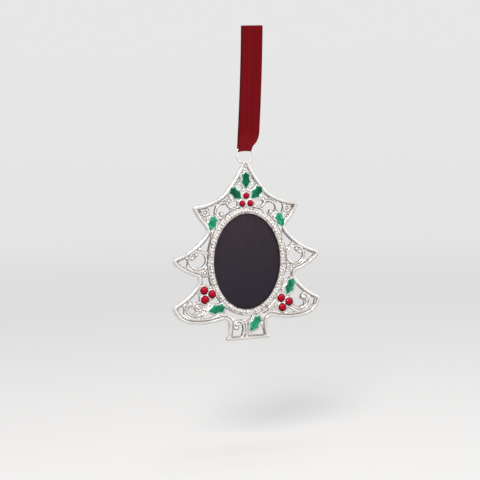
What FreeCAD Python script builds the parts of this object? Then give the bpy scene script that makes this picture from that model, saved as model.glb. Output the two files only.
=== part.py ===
# Openwork Christmas tree ornament that holds a small oval photograph.
# A silver-plated casting carries green enamel holly leaves, red crystal berries and an oval
# photo opening with a beaded edge. It hangs by a wire ring from a folded red ribbon.
# Millimetres, +Z up, the front faces -Y, the origin is where the ribbon's loop hangs.
import FreeCAD, Part
import math
import os
from FreeCAD import Placement, Rotation, Vector

doc = FreeCAD.newDocument("tree_photo_ornament")

# Driving dimensions. Heights are from the centre of the oval, depths from the flat back.
SIZES = [
    ("tree_top", 46.5, "height of the tip"),
    ("tip_half", 1.5, "half width of the rounded tip"),
    ("tip_drop", 1.2, "height of the rounded tip"),
    ("waist_half", 10.4, "half width where the crown starts to flare"),
    ("waist_height", 32.0, "height where the crown starts to flare"),
    ("upper_half", 25.5, "half span of the upper branches"),
    ("upper_height", 26.6, "height of the upper branch tips"),
    ("upper_notch_half", 19.3, "half width of the notch under the upper branches"),
    ("upper_notch_height", 15.6, "height of that notch"),
    ("middle_half", 35.5, "half span of the middle branches"),
    ("middle_height", 1.9, "height of the middle branch tips"),
    ("middle_notch_half", 23.7, "half width of the notch under the middle branches"),
    ("middle_notch_height", -7.2, "height of that notch"),
    ("lower_half", 35.9, "half span of the lower branches"),
    ("lower_height", -19.6, "height of the lower branch tips"),
    ("lower_edge_height", -26.4, "height of the lower branches' underside beside the trunk"),
    ("trunk_half", 9.2, "half width of the trunk"),
    ("trunk_high", 10.0, "height of the trunk under that underside"),
    ("foot_half", 10.5, "half width of the foot"),
    ("foot_thick", 1.5, "height of the foot bar"),
    ("oval_wide", 32.6, "width of the photo opening"),
    ("oval_high", 44.5, "height of the photo opening"),
    ("bezel_wide", 3.0, "width of the beaded band round the opening"),
    ("lip_wide", 0.55, "smooth lip inside the beads"),
    ("bead_pitch", 1.42, "spacing of the beads"),
    ("bead_gap", 0.14, "space between two beads"),
    ("bead_rise", 0.5, "height of a bead above the band"),
    ("rim_front", 2.8, "depth of the casting at its raised rim"),
    ("rim_wide", 1.0, "width of the raised rim"),
    ("ledge_wide", 0.8, "flat ledge between the rim and the openings"),
    ("web_front", 2.1, "depth of the pierced web's front"),
    ("web_back", 0.9, "depth of the pierced web's back"),
    ("scroll_front", 2.65, "depth of the scrolls' crown"),
    ("scroll_wide", 0.95, "width of a scroll"),
    ("bezel_front", 2.5, "depth of the band round the opening"),
    ("seat_depth", 1.9, "depth of the seats under enamel and crystals, and of the window's front"),
    ("cell_wall", 0.4, "wall of an enamel cell"),
    ("cell_front", 2.7, "depth of the cell walls and crystal cups"),
    ("enamel_front", 2.56, "depth of the enamel's surface"),
    ("enamel_gap", 0.03, "gap between enamel and its wall"),
    ("leaf_wide", 4.8, "width of a holly leaf"),
    ("crystal_small", 2.9, "diameter of the crown's crystals"),
    ("crystal_large", 3.8, "diameter of the lower branches' crystals"),
    ("crystal_sides", 12, "sides of a crystal and of its cup"),
    ("crystal_tall", 1.3, "height of a crystal from its flat back to its table"),
    ("crystal_girdle", 0.5, "height of the crystal's girdle over its flat back"),
    ("crystal_table", 0.56, "width of the table as a part of the crystal's diameter"),
    ("crystal_gap", 0.04, "gap between a crystal and its cup"),
    ("cup_wall", 0.5, "wall of a crystal cup"),
    ("recess_ledge", 0.9, "width of the ledge that the window rests on"),
    ("recess_gap", 0.1, "gap between the recess wall and what fits in it"),
    ("window_thick", 0.5, "thickness of the clear window"),
    ("insert_thick", 0.3, "thickness of the card behind the window"),
    ("cover_thick", 0.8, "thickness of the pressed-in back"),
    ("stack_gap", 0.02, "gap between window, card and back"),
    ("notch_round", 2.6, "radius of the finger notch in the back"),
    ("eye_drop", 1.15, "distance of the eyelet's hole under the tip"),
    ("eye_depth", 1.2, "depth of the eyelet's hole"),
    ("eye_wide", 1.5, "width of the eyelet"),
    ("eye_wall", 0.48, "wall round the eyelet's hole"),
    ("eye_gap", 0.17, "play of the ring's wire in the eyelet"),
    ("pocket_depth", 2.05, "depth of the pocket behind the tip that the ring swings in"),
    ("pocket_height", 1.2, "reach of that pocket below the eyelet's hole"),
    ("tip_skin", 0.6, "thickness of the tip in front of the pocket"),
    ("wire_round", 0.45, "radius of the ring's wire"),
    ("wire_sides", 12, "flat sides that stand for the wire's round section"),
    ("ring_round", 3.95, "radius of the ring at the middle of its wire"),
    ("ring_split", 3.0, "angle of the ring's closed split"),
    ("ribbon_wide", 10.0, "width of the ribbon"),
    ("ribbon_thick", 0.25, "thickness of the ribbon"),
    ("ribbon_gap", 0.08, "gap between the ribbon's fold and the wire"),
    ("ribbon_fold", 58.0, "angle of the ring that the fold covers each side of its top"),
    ("ribbon_flare", 5.0, "height over which the ribbon spreads to its full width"),
    ("ribbon_tall", 54.0, "height of the loop over the ring's wire"),
    ("ribbon_lean", 4.6, "sideways lean of the loop over that height"),
]

sheet = doc.addObject("Spreadsheet::Sheet", "Sizes")
for row, (alias, value, meaning) in enumerate(SIZES, start=1):
    sheet.set("A%d" % row, meaning)
    sheet.set("B%d" % row, str(value))
    sheet.setAlias("B%d" % row, alias)
doc.recompute()


def size(alias):
    return float(sheet.get(alias))


# Where the main features lie, all worked out from the sheet.
oval_a = size("oval_wide") / 2
oval_b = size("oval_high") / 2
bezel_a = oval_a + size("bezel_wide")
bezel_b = oval_b + size("bezel_wide")
foot_z = size("lower_edge_height") - size("trunk_high")
foot_top = foot_z + size("foot_thick")
eye_z = size("tree_top") - size("eye_drop")
ring_centre_z = eye_z + size("ring_round")
wire_top_z = ring_centre_z + size("ring_round")
hang_x = size("ribbon_lean")
hang_z = wire_top_z + size("ribbon_tall")
HANG = Placement(Vector(-hang_x, size("eye_depth"), -hang_z), Rotation())


# Flat outlines are drawn in the XZ plane and then given their depth.
def spot(x, z):
    return Vector(x, 0, z)


def bowed(start, end, bow):
    """Arc from start to end that bows to the left of its direction by bow at its middle."""
    if bow == 0:
        return Part.LineSegment(start, end).toShape()
    along = end - start
    left = Vector(-along.z, 0, along.x).normalize()
    middle = (start + end) * 0.5 + left * bow
    return Part.Arc(start, middle, end).toShape()


def slab(face, front, back):
    """Solid of a flat outline between two depths in front of the back plane."""
    moved = face.copy()
    moved.translate(Vector(0, -front, 0))
    return moved.extrude(Vector(0, front - back, 0))


def disc(centre, radius):
    return Part.Face(Part.Wire(Part.Circle(spot(*centre), Vector(0, -1, 0), radius).toShape()))


def rounded(centre, radius):
    """Small round drawn with flat sides, as many as a crystal has."""
    sides = int(size("crystal_sides"))
    reach = radius / math.cos(math.pi / sides)
    corners = []
    for side in range(sides):
        angle = (side + 0.5) * 2 * math.pi / sides
        corners.append((centre[0] + reach * math.cos(angle), centre[1] + reach * math.sin(angle)))
    return patch(corners)


def oval(a, b):
    """Ellipse about the oval's centre, with half width a and half height b."""
    return Part.Face(Part.Wire(Part.Ellipse(spot(0, b), spot(a, 0), spot(0, 0)).toShape()))


def patch(points):
    """Flat face with straight edges through the points."""
    corners = [spot(x, z) for x, z in points]
    return Part.Face(Part.makePolygon(corners + corners[:1]))


def band(start, middle, end, width):
    """Curved strip of constant width along the arc through three points."""
    centre = Part.Arc(spot(*start), spot(*middle), spot(*end)).toShape().Curve.Center
    corners = []
    for reach in (width / 2, -width / 2):
        ring = []
        for point in (spot(*start), spot(*middle), spot(*end)):
            out = (point - centre).normalize()
            ring.append(point + out * reach)
        corners.append(ring)
    outer, inner = corners
    edges = [
        Part.Arc(*outer).toShape(),
        Part.LineSegment(outer[2], inner[2]).toShape(),
        Part.Arc(*inner[::-1]).toShape(),
        Part.LineSegment(inner[0], outer[0]).toShape(),
    ]
    return Part.Face(Part.Wire(edges))


def bar(start, end, width):
    """Straight strip of constant width."""
    a, b = spot(*start), spot(*end)
    along = (b - a).normalize()
    side = Vector(-along.z, 0, along.x) * (width / 2)
    corners = [a + side, b + side, b - side, a - side]
    return Part.Face(Part.makePolygon(corners + corners[:1]))


def loop(centre, radius, width):
    """Closed ring of constant width."""
    return disc(centre, radius + width / 2).cut(disc(centre, radius - width / 2))


def small_loop(centre, radius, width):
    """Closed ring of constant width, with flat sides."""
    return rounded(centre, radius + width / 2).cut(rounded(centre, radius - width / 2))


def holly(centre, length, width, turn):
    """Holly leaf: two spines a side, with hollow edges between them and the two points."""
    side = [(0.5, 0.0), (0.39, 0.20), (0.31, 0.46), (0.19, 0.38), (0.03, 0.37), (-0.12, 0.50),
            (-0.22, 0.34), (-0.38, 0.17), (-0.5, 0.0)]
    other = [(along, -across) for along, across in side[-2:0:-1]]
    cos, sin = math.cos(math.radians(turn)), math.sin(math.radians(turn))
    corners = []
    for along, across in side + other:
        u, v = along * length, across * width
        corners.append((centre[0] + u * cos - v * sin, centre[1] + u * sin + v * cos))
    return patch(corners)


# The tree's outline, half of it, from the tip down to the middle of the foot.
def outline_face():
    tip = size("upper_half"), size("upper_height")
    notch = size("upper_notch_half"), size("upper_notch_height")
    branch = size("middle_half"), size("middle_height")
    hollow = size("middle_notch_half"), size("middle_notch_height")
    skirt = size("lower_half"), size("lower_height")
    hem = size("lower_edge_height")
    trunk, foot = size("trunk_half"), size("foot_half")
    stretches = [
        (0, size("tree_top"), 0.35),
        (size("tip_half"), size("tree_top") - size("tip_drop"), -0.5),
        (size("waist_half"), size("waist_height"), -1.3),
        (tip[0], tip[1], 0.25),
        (tip[0] - 0.2, tip[1] - 1.5, 0.4),
        (notch[0] + 0.8, notch[1] + 1.7, -0.15),
        (notch[0], notch[1], -0.15),
        (notch[0] + 0.3, notch[1] - 1.9, -1.5),
        (branch[0] - 0.7, branch[1] + 1.5, 0.65),
        (branch[0] - 0.7, branch[1] - 1.6, 0.7),
        (hollow[0] + 0.9, hollow[1] + 1.5, -0.35),
        (hollow[0], hollow[1], -0.3),
        (hollow[0] + 0.7, hollow[1] - 2.5, -0.8),
        (skirt[0] - 1.0, skirt[1] + 1.5, 0.8),
        (skirt[0] - 0.3, skirt[1] - 1.7, 0.9),
        (skirt[0] - 6.4, skirt[1] - 7.3, 1.1),
        (trunk + 2.8, hem, -0.7),
        (trunk, hem - 2.4, -0.2),
        (trunk + 0.7, foot_top, 0),
        (foot, foot_top, 0),
        (foot, foot_z, 0),
        (0, foot_z, 0),
    ]
    edges = []
    for (x, z, bow), (next_x, next_z, _) in zip(stretches, stretches[1:]):
        edge = bowed(spot(x, z), spot(next_x, next_z), bow)
        edges.append(edge)
        edges.append(edge.mirror(Vector(0, 0, 0), Vector(1, 0, 0)))
    return Part.Face(Part.Wire(Part.__sortEdges__(edges)))


# Each part of the pattern is drawn about the feature that it belongs to.
class Corner:
    """Places pattern points about an anchor, on the right (1) or mirrored to the left (-1)."""

    def __init__(self, x, z, side=1):
        self.x, self.z, self.side = x, z, side

    def at(self, dx, dz):
        return self.side * (self.x + dx), self.z + dz

    def patch(self, *points):
        return patch([self.at(*point) for point in points])

    def band(self, start, middle, end, width):
        return band(self.at(*start), self.at(*middle), self.at(*end), width)

    def bar(self, start, end, width):
        return bar(self.at(*start), self.at(*end), width)

    def loop(self, centre, radius, width):
        return loop(self.at(*centre), radius, width)

    def small_loop(self, centre, radius, width):
        return small_loop(self.at(*centre), radius, width)

    def leaf(self, centre, length, turn):
        if self.side < 0:
            turn = 180 - turn
        return self.at(*centre), length, turn


class Pattern:
    """Openings, scrolls, ball ends, leaves and crystals of the casting."""

    def __init__(self):
        self.openings, self.scrolls, self.balls = [], [], []
        self.leaves, self.crystals, self.fills = [], [], []


def crown(pattern):
    """Three leaves, three small crystals and the scrolls over the oval."""
    thin = size("scroll_wide") - 0.05
    small = size("crystal_small")
    for side in (1, -1):
        name = "right" if side > 0 else "left"
        top = Corner(0, bezel_b, side)
        pattern.leaves.append(("crown_" + name, *top.leaf((5.1, 6.5), 7.6, 45)))
        pattern.crystals.append(("crown_" + name, top.at(2.0, 1.65), small))
        pattern.openings += [
            top.patch((2.6, 14.2), (5.3, 10.9), (3.4, 11.4), (2.6, 12.4)),
            top.patch((1.2, 8.5), (2.4, 10.2), (5.0, 10.6), (4.4, 9.4), (2.3, 7.9)),
            top.patch((8.7, 6.0), (11.8, 3.8), (10.4, 3.3), (7.9, 4.6)),
            top.patch((4.3, 2.8), (7.2, 2.9), (8.4, 2.0), (8.0, 0.7), (6.6, 0.1), (4.4, 0.3)),
            top.patch((9.8, 1.4), (12.2, 1.5), (13.7, 0.7), (14.3, -0.8), (13.7, -3.0),
                      (9.0, -3.6), (7.6, -1.0)),
        ]
        pattern.scrolls += [
            top.band((4.9, -0.3), (8.1, 0.4), (9.3, 2.4), thin),
            top.band((15.1, -2.4), (14.2, 0.7), (9.6, 2.4), thin),
        ]
        pattern.balls += [(top.at(8.4, 3.1), 0.85), (top.at(12.0, -2.8), 1.1)]
    top = Corner(0, bezel_b)
    pattern.leaves.append(("crown_top", *top.leaf((0, 12.4), 7.9, 90)))
    pattern.crystals.append(("crown_top", top.at(0, 5.25), small))


def shoulders(pattern):
    """A leaf, a snail scroll and small openings in each upper branch."""
    for side in (1, -1):
        name = "right" if side > 0 else "left"
        tip = Corner(size("upper_half"), size("upper_height"), side)
        pattern.leaves.append(("shoulder_" + name, *tip.leaf((-8.9, -8.0), 7.2, 113)))
        pattern.openings += [
            tip.patch((-10.9, -0.2), (-7.8, -0.2), (-7.4, -2.0), (-8.1, -4.6), (-9.8, -4.8),
                      (-10.4, -2.2)),
            tip.patch((-2.7, -1.3), (-1.7, -1.5), (-2.1, -2.3)),
            tip.patch((-4.7, -5.6), (-6.4, -5.9), (-6.0, -7.1)),
            tip.patch((-13.1, -6.2), (-12.0, -6.4), (-12.7, -7.2)),
        ]
        pattern.scrolls.append(tip.small_loop((-5.6, -2.9), 1.35, 0.9))
        pattern.balls.append((tip.at(-5.6, -2.9), 0.5))


def middle_branches(pattern):
    """A large round scroll in each middle branch, with a slot over it and a small loop under it."""
    wide = size("scroll_wide")
    for side in (1, -1):
        tip = Corner(size("middle_half"), size("middle_height"), side)
        eye = tip.at(-11.5, 0.0)
        pattern.openings += [
            tip.patch((-18.3, 12.8), (-16.4, 10.4), (-13.0, 6.1), (-13.4, 5.2), (-15.2, 4.0),
                      (-16.1, 3.6), (-17.6, 7.2)),
            disc(eye, 3.9),
            tip.patch((-2.2, -0.3), (-5.7, 1.3), (-6.5, -0.1), (-6.3, -2.8), (-5.1, -3.2), (-3.5, -2.2)),
        ]
        pattern.scrolls.append(tip.loop((-11.5, 0.0), 4.15, wide))
        pattern.fills += [rounded(tip.at(-9.6, 2.2), 1.5)]
        pattern.balls += [(tip.at(-10.8, 2.6), 0.85), (tip.at(-8.9, 1.0), 0.85)]
    left = Corner(size("middle_half"), size("middle_height"), -1)
    right = Corner(size("middle_half"), size("middle_height"), 1)
    pattern.openings += [
        left.patch((-13.3, -8.1), (-17.1, -7.8), (-17.6, -9.4), (-17.3, -12.4), (-15.2, -11.5),
                   (-13.0, -11.1)),
        right.patch((-13.4, -8.1), (-17.1, -7.8), (-17.5, -10.9), (-15.4, -11.2), (-13.2, -9.6)),
    ]
    pattern.scrolls += [
        left.small_loop((-14.8, -6.1), 1.25, 0.6),
        right.small_loop((-14.5, -5.6), 1.15, 0.6),
    ]
    pattern.balls.append((left.at(-14.8, -6.1), 0.75))


def lower_left(pattern):
    """Three crystals, a lying leaf and a scroll in the lower left branch."""
    wide = size("scroll_wide")
    large = size("crystal_large")
    tip = Corner(size("lower_half"), size("lower_height"), -1)
    pattern.leaves.append(("lower_left", tip.at(-20.6, -1.6), 8.8, 8))
    for name, dx, dz in (("upper", -14.6, 7.5), ("inner", -18.5, 5.6), ("lower", -14.9, 3.2)):
        pattern.crystals.append(("left_" + name, tip.at(dx, dz), large))
    pattern.openings += [
        tip.patch((-10.9, 7.3), (-12.3, 5.4), (-12.3, 2.6), (-10.5, 1.9), (-7.4, 3.6)),
        tip.patch((-17.3, 2.4), (-20.6, 4.0), (-22.7, 1.2), (-20.3, 0.9), (-17.5, 1.0)),
        tip.patch((-13.0, -5.2), (-16.1, -3.3), (-17.7, -3.4), (-19.3, -4.9), (-16.4, -5.8)),
        tip.patch((-2.1, -0.4), (-4.1, 1.3), (-4.8, -0.9), (-4.7, -3.0), (-3.0, -2.2)),
        tip.patch((-7.0, -0.4), (-9.7, -0.5), (-10.4, -2.4), (-8.9, -3.3), (-7.3, -2.2)),
    ]
    pattern.scrolls += [
        tip.band((-7.2, 1.7), (-6.1, -1.2), (-8.5, -3.7), wide),
        tip.band((-8.4, -3.7), (-11.7, -4.0), (-14.8, -2.2), wide),
        tip.small_loop((-11.8, -0.4), 1.25, 0.75),
    ]
    pattern.balls.append((tip.at(-7.9, 1.7), 1.0))


def lower_right(pattern):
    """Three crystals, a standing leaf and an open scroll in the lower right branch."""
    wide = size("scroll_wide")
    large = size("crystal_large")
    tip = Corner(size("lower_half"), size("lower_height"))
    pattern.leaves.append(("lower_right", tip.at(-15.0, 6.7), 8.4, 65))
    for name, dx, dz in (("upper", -19.4, 1.5), ("outer", -15.5, -0.5), ("lower", -18.9, -3.0)):
        pattern.crystals.append(("right_" + name, tip.at(dx, dz), large))
    pattern.openings += [
        tip.patch((-19.5, 6.1), (-18.8, 4.8), (-20.1, 4.6)),
        tip.patch((-11.6, 7.2), (-7.9, 3.5), (-9.6, 2.0), (-9.7, 0.2), (-7.6, -1.0), (-8.0, -2.4),
                  (-10.3, -3.2), (-12.5, -2.6), (-13.3, 0.6), (-15.1, 2.4), (-13.3, 3.8)),
        tip.patch((-4.8, 1.2), (-2.3, -0.2), (-2.9, -2.4), (-4.5, -3.6), (-5.1, -1.4)),
        tip.patch((-16.1, -3.6), (-12.5, -5.4), (-13.6, -5.9), (-16.7, -5.4)),
    ]
    pattern.scrolls += [
        tip.band((-7.6, 1.0), (-6.4, -1.3), (-8.2, -3.5), wide),
        tip.band((-8.2, -3.5), (-11.0, -4.0), (-13.6, -2.6), wide),
    ]
    pattern.balls.append((tip.at(-8.0, 1.2), 1.25))


def trunk(pattern):
    """A hooked scroll, a bar and a leaf in the trunk, and the openings along the oval's foot."""
    wide = size("scroll_wide")
    foot = Corner(0, foot_z)
    under = Corner(0, -bezel_b)
    pattern.leaves.append(("trunk", foot.at(3.3, 7.2), 8.9, 53))
    pattern.openings += [
        foot.patch((-7.7, 5.2), (-5.6, 4.8), (-4.5, 6.0), (-4.3, 7.6), (-2.9, 6.9), (-2.6, 4.9),
                   (-3.4, 1.8), (-8.5, 1.8)),
        foot.patch((2.0, 2.9), (4.9, 4.4), (6.3, 6.6), (7.3, 4.9), (8.1, 1.8), (2.2, 1.8)),
        under.patch((-11.3, 3.1), (-9.5, 4.1), (-6.0, 1.9), (0.0, 0.9), (2.3, 0.3), (1.0, -1.9),
                    (-0.8, -2.4), (-2.4, -1.6), (-6.2, -2.3), (-7.6, 0.1), (-11.5, 1.5)),
        under.patch((6.6, 1.3), (9.3, 3.1), (10.3, 2.6), (9.8, 1.5), (8.2, 1.0), (7.0, 0.3)),
    ]
    pattern.scrolls += [
        foot.band((-3.3, 1.2), (-2.0, 5.0), (-2.7, 7.8), wide),
        foot.band((-2.6, 7.6), (-4.6, 8.9), (-6.8, 7.3), wide),
        foot.band((-6.7, 7.5), (-6.8, 6.2), (-5.4, 5.6), wide),
        foot.bar((-1.0, 8.2), (-0.7, 1.2), wide),
        foot.bar((-3.0, 1.2), (-1.6, 3.6), wide),
    ]
    pattern.fills.append(foot.patch((-2.2, 1.2), (-0.8, 1.2), (-0.9, 8.3), (-2.4, 8.3)))
    pattern.balls.append((foot.at(-5.3, 5.7), 0.8))


pattern = Pattern()
for draw in (crown, shoulders, middle_branches, lower_left, lower_right, trunk):
    draw(pattern)


# Beads lie evenly round the band, a whole number of them at about the stated pitch.
def bead_places():
    radius_a = oval_a + size("lip_wide") + size("bead_pitch") / 2
    radius_b = oval_b + size("lip_wide") + size("bead_pitch") / 2
    steps = 1440
    travelled, angles = [0.0], [0.0]
    for step in range(steps):
        angle = 2 * math.pi * (step + 0.5) / steps
        speed = math.hypot(radius_a * math.sin(angle), radius_b * math.cos(angle))
        travelled.append(travelled[-1] + speed * 2 * math.pi / steps)
        angles.append(2 * math.pi * (step + 1) / steps)
    count = round(travelled[-1] / size("bead_pitch"))
    pitch = travelled[-1] / count
    places, step = [], 0
    for index in range(count):
        while travelled[step + 1] < index * pitch:
            step += 1
        angle = angles[step]
        places.append((radius_a * math.cos(angle), radius_b * math.sin(angle), angle))
    return places, pitch


def domed(x, z, turn, sides, rings):
    """Solid with flat sides, stacked from rings of corners given as (radius, depth)."""
    wires = []
    for radius, depth in rings:
        corners = []
        for side in range(sides):
            angle = turn + side * 2 * math.pi / sides
            corners.append(Vector(x + radius * math.cos(angle), -depth, z + radius * math.sin(angle)))
        wires.append(corners)
    faces = [Part.Face(Part.makePolygon(wires[0] + wires[0][:1])),
             Part.Face(Part.makePolygon(wires[-1] + wires[-1][:1]))]
    for lower, upper in zip(wires, wires[1:]):
        for side in range(sides):
            after = (side + 1) % sides
            quad = [lower[side], lower[after], upper[after], upper[side], lower[side]]
            faces.append(Part.Face(Part.makePolygon(quad)))
    return Part.makeSolid(Part.makeShell(faces))


def bead(x, z, angle, across):
    """Six-sided bead of the band."""
    front = size("bezel_front")
    rings = [(across / 2, front - 0.1), (across / 3.6, front + size("bead_rise"))]
    return domed(x, z, angle, 6, rings)


def stud(x, z, radius):
    """Ball end of a scroll: a round stud with a domed crown."""
    front = size("web_front")
    rings = [(radius, size("web_back")), (radius, front + 0.35 * radius), (0.5 * radius, front + 0.95 * radius)]
    return domed(x, z, 0, 9, rings)


def casting_shape():
    outline = outline_face()
    inside = outline.makeOffset2D(-(size("rim_wide") + size("ledge_wide")))
    seat, front = size("seat_depth"), size("cell_front")
    web_front, web_back = size("web_front"), size("web_back")

    # The pierced web, with every opening kept inside the ledge.
    web = slab(outline, web_front, web_back)
    piercings = [slab(face.common(inside), web_front + 1, web_back - 1) for face in pattern.openings]
    web = web.cut(piercings)

    # Raised work: rim, scrolls, ball ends, leaf cells, crystal cups and the oval's band.
    work = [slab(outline.cut(outline.makeOffset2D(-size("rim_wide"))), size("rim_front"), 0)]
    for face in pattern.scrolls:
        work.append(slab(face, size("scroll_front"), web_back))
    for face in pattern.fills:
        work.append(slab(face.common(inside), web_front, web_back))
    for (x, z), radius in pattern.balls:
        work.append(stud(x, z, radius))
    for name, centre, length, turn in pattern.leaves:
        wall = 2 * size("cell_wall")
        work.append(slab(holly(centre, length + wall, size("leaf_wide") + wall, turn), front, web_back))
    for name, (x, z), across in pattern.crystals:
        work.append(slab(rounded((x, z), across / 2 + size("cup_wall")), front, web_back))
    work.append(slab(oval(bezel_a, bezel_b), size("bezel_front"), 0))
    body = web.multiFuse(work)

    places, pitch = bead_places()
    body = body.multiFuse([bead(x, z, angle, pitch - size("bead_gap")) for x, z, angle in places])

    # Seats for enamel and crystals, and the stepped opening for window, card and back.
    cuts = []
    for name, centre, length, turn in pattern.leaves:
        cuts.append(slab(holly(centre, length, size("leaf_wide"), turn), front + 1, seat))
    for name, (x, z), across in pattern.crystals:
        cuts.append(slab(rounded((x, z), across / 2 + size("crystal_gap")), front + 1, seat))
    cuts.append(slab(oval(oval_a, oval_b), front + 1, seat - 0.1))
    ledge = size("recess_ledge") + size("recess_gap")
    cuts.append(slab(oval(oval_a + ledge, oval_b + ledge), seat, -1))

    # The eyelet stands in a pocket behind the tip, where the ring swings.
    eye_half = size("eye_wide") / 2
    floor = eye_z - size("pocket_height")
    pocket = size("pocket_depth")
    bore = size("wire_round") + size("eye_gap")
    lug = bore + size("eye_wall")
    reach = size("waist_half")
    over = size("tree_top") + 1
    cuts.append(slab(patch([(-reach, floor), (reach, floor), (reach, over), (-reach, over)]), pocket, -1))
    body = body.cut(cuts)
    skin_foot = floor - size("tip_skin")
    tip = outline.common(patch([(-reach, skin_foot), (reach, skin_foot), (reach, over), (-reach, over)]))
    skin = slab(tip, pocket + size("tip_skin"), pocket)
    across_tip = Vector(1, 0, 0)
    start = Vector(-eye_half, -size("eye_depth"), eye_z)
    knuckle = Part.makeCylinder(lug, 2 * eye_half, start, across_tip)
    root = floor - size("eye_wall")
    stem = slab(patch([(-eye_half, root), (eye_half, root), (eye_half, eye_z), (-eye_half, eye_z)]),
                size("eye_depth") + lug, size("eye_depth") - lug)
    body = body.multiFuse([skin, knuckle, stem])
    hole = Part.makeCylinder(bore, 2 * eye_half + 2, start - across_tip, across_tip)
    return body.cut(hole).removeSplitter()


# The sub-parts. Each is made about the oval's centre and placed from the hang point.
NODES = []


def keep(feature, name):
    feature.Label = name
    NODES.append(feature)


def tie(feature, **formulas):
    """Bind properties to the sheet; a word in braces stands for the cell with that alias."""
    for prop, formula in formulas.items():
        feature.setExpression(prop, formula.replace("{", "Sizes.").replace("}", ""))


casting = doc.addObject("Part::Feature", "tree_casting")
casting.Shape = casting_shape()
casting.Placement = HANG
keep(casting, "tree_casting")


# Enamel fills each leaf cell, a little below the cell's wall.
for name, centre, length, turn in pattern.leaves:
    gap = 2 * size("enamel_gap")
    blank = doc.addObject("Part::Feature", "leaf_" + name)
    blank.Shape = holly(centre, length - gap, size("leaf_wide") - gap, turn)
    blank.Placement = Placement(Vector(0, -size("seat_depth"), 0), Rotation())
    enamel = doc.addObject("Part::Extrusion", "enamel_" + name)
    enamel.Base = blank
    enamel.DirMode = "Custom"
    enamel.Dir = Vector(0, -1, 0)
    enamel.Solid = True
    tie(enamel, LengthFwd="{enamel_front} - {seat_depth}")
    enamel.Placement = HANG
    keep(enamel, "enamel_" + name)


# Crystals: flat back, widest at the girdle, and a smaller flat table, all with the same sides.
def crystal_shape(across):
    sides = int(size("crystal_sides"))
    corner = across / 2 / math.cos(math.pi / sides)
    rings = [(0.8 * corner, 0), (corner, size("crystal_girdle")),
             (size("crystal_table") * corner, size("crystal_tall"))]
    return domed(0, 0, math.pi / sides, sides, rings)


for name, (x, z), across in pattern.crystals:
    crystal = doc.addObject("Part::Feature", "crystal_" + name)
    crystal.Shape = crystal_shape(across)
    crystal.Placement = HANG.multiply(Placement(Vector(x, -size("seat_depth"), z), Rotation()))
    keep(crystal, "crystal_" + name)


# Window, card and back are ovals that stack in the recess behind the opening.
FACING = Rotation(Vector(1, 0, 0), 90)
UPRIGHT = Rotation(Vector(0, 0, 1), Vector(-1, 0, 0), Vector(0, -1, 0), "ZXY")


def stacked(name, thickness, back_depth):
    """Oval plate in the recess, its thickness bound to the sheet and its back at a depth."""
    ellipse = doc.addObject("Part::Ellipse", name + "_outline")
    tie(ellipse, MajorRadius="{oval_high} / 2 + {recess_ledge}",
        MinorRadius="{oval_wide} / 2 + {recess_ledge}")
    plate = doc.addObject("Part::Extrusion", name)
    plate.Base = ellipse
    plate.DirMode = "Custom"
    plate.Dir = Vector(0, 0, 1)
    plate.Solid = True
    tie(plate, LengthFwd="{%s}" % thickness)
    plate.Placement = HANG.multiply(Placement(Vector(0, -back_depth, 0), UPRIGHT))
    return plate


window_back = size("seat_depth") - size("window_thick")
keep(stacked("window", "window_thick", window_back), "window")
insert_back = window_back - size("stack_gap") - size("insert_thick")
keep(stacked("photo_insert", "insert_thick", insert_back), "photo_insert")

# The pressed-in back has a half-round finger notch at its foot.
cover_back = insert_back - size("stack_gap") - size("cover_thick")
plate = stacked("back_plate", "cover_thick", cover_back)
notch = doc.addObject("Part::Cylinder", "finger_notch")
tie(notch, Radius="{notch_round}", Height="{cover_thick} + 2")
notch_foot = Vector(0, -cover_back + 1, -(oval_b + size("recess_ledge")))
notch.Placement = HANG.multiply(Placement(notch_foot, FACING))
cover = doc.addObject("Part::Cut", "back_cover")
cover.Base = plate
cover.Tool = notch
keep(cover, "back_cover")

# The wire ring stands in the eyelet, its closed split at the top under the ribbon.
section = doc.addObject("Part::RegularPolygon", "wire_section")
tie(section, Polygon="{wire_sides}", Circumradius="{wire_round}")
section.Placement = Placement(Vector(), FACING)
section.setExpression("Placement.Base.x", "Sizes.ring_round")
ring = doc.addObject("Part::Revolution", "hanging_ring")
ring.Source = section
ring.Axis = Vector(0, 0, 1)
ring.Solid = True
tie(ring, Angle="360 - {ring_split}")
half_split = Rotation(Vector(0, 0, 1), size("ring_split") / 2)
ring_place = Placement(Vector(0, -size("eye_depth"), ring_centre_z), UPRIGHT.multiply(half_split))
ring.Placement = HANG.multiply(ring_place)
keep(ring, "hanging_ring")


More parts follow.
